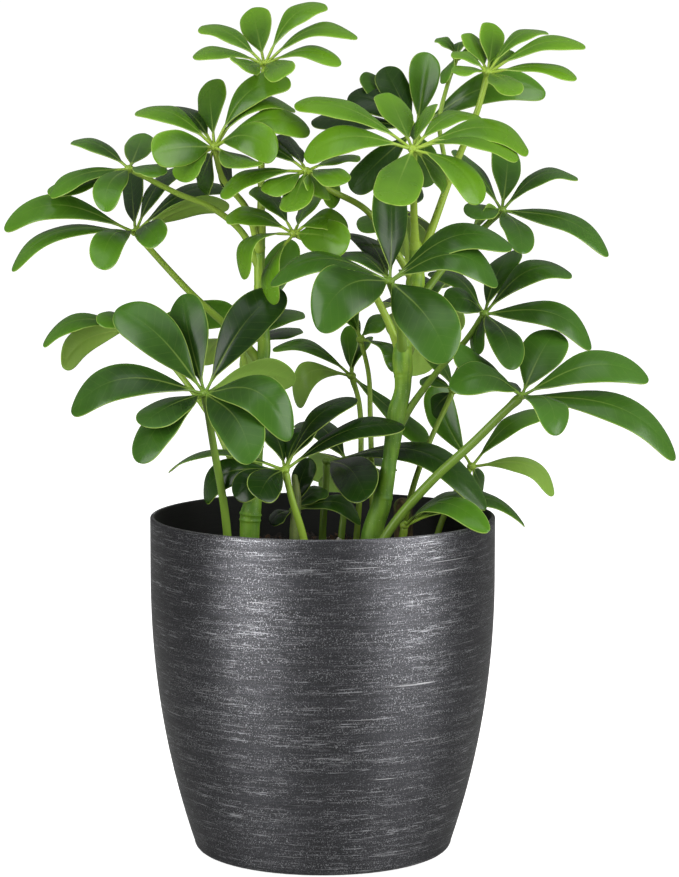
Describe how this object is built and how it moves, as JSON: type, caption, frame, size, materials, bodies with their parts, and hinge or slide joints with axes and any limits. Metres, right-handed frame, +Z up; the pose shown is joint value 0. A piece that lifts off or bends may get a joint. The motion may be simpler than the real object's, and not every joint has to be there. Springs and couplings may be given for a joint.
{
  "type": "potted umbrella plant",
  "caption": "Dwarf umbrella plant with palmate leaves on slim stems, in a round tapering metal planter filled with soil.",
  "frame": {"origin": "centre of the planter's flat underside", "axes": "+Z up the planter's axis, -Y towards the front of the picture, +X to the picture's right"},
  "size_m": [0.3082, 0.1804, 0.3932],
  "materials": {
    "pot_metal": "satin",
    "soil": "matte",
    "stem_green": "satin",
    "cane_brown": "matte",
    "leaf_young": "satin",
    "leaf_middle": "satin",
    "leaf_old": "satin"
  },
  "bodies": {
    "root": {"pot": "pot_metal", "soil": "soil", "stem_left": "stem_green", "stem_right": "stem_green", "shoot_short": "stem_green", "cane_stub": "cane_brown", "leaf_top_left": "leaf_young", "leaf_upper_left": "leaf_young", "leaf_left_upper": "leaf_middle", "leaf_left_middle": "leaf_middle", "leaf_centre_left_upper": "leaf_young", "leaf_centre_left": "leaf_young", "leaf_centre_top": "leaf_young", "leaf_centre_top_back": "leaf_middle", "leaf_top_right": "leaf_young", "leaf_top_right_back": "leaf_middle", "leaf_right_upper": "leaf_old", "leaf_centre": "leaf_old", "leaf_right_middle": "leaf_old", "leaf_left_big": "leaf_old", "leaf_left_back": "leaf_middle", "leaf_right_big": "leaf_old", "leaf_low_left_centre": "leaf_middle", "leaf_centre_back": "leaf_middle", "leaf_centre_back_low": "leaf_middle", "leaf_right_low_back": "leaf_middle", "leaf_low_centre": "leaf_old", "leaf_low_right": "leaf_middle", "leaf_right_behind": "leaf_middle", "leaf_low_inner": "leaf_old", "leaf_back_right": "leaf_middle", "leaf_back_left": "leaf_middle", "leaf_back_centre": "leaf_middle", "leaf_back_low": "leaf_old"}
  },
  "joints": []
}
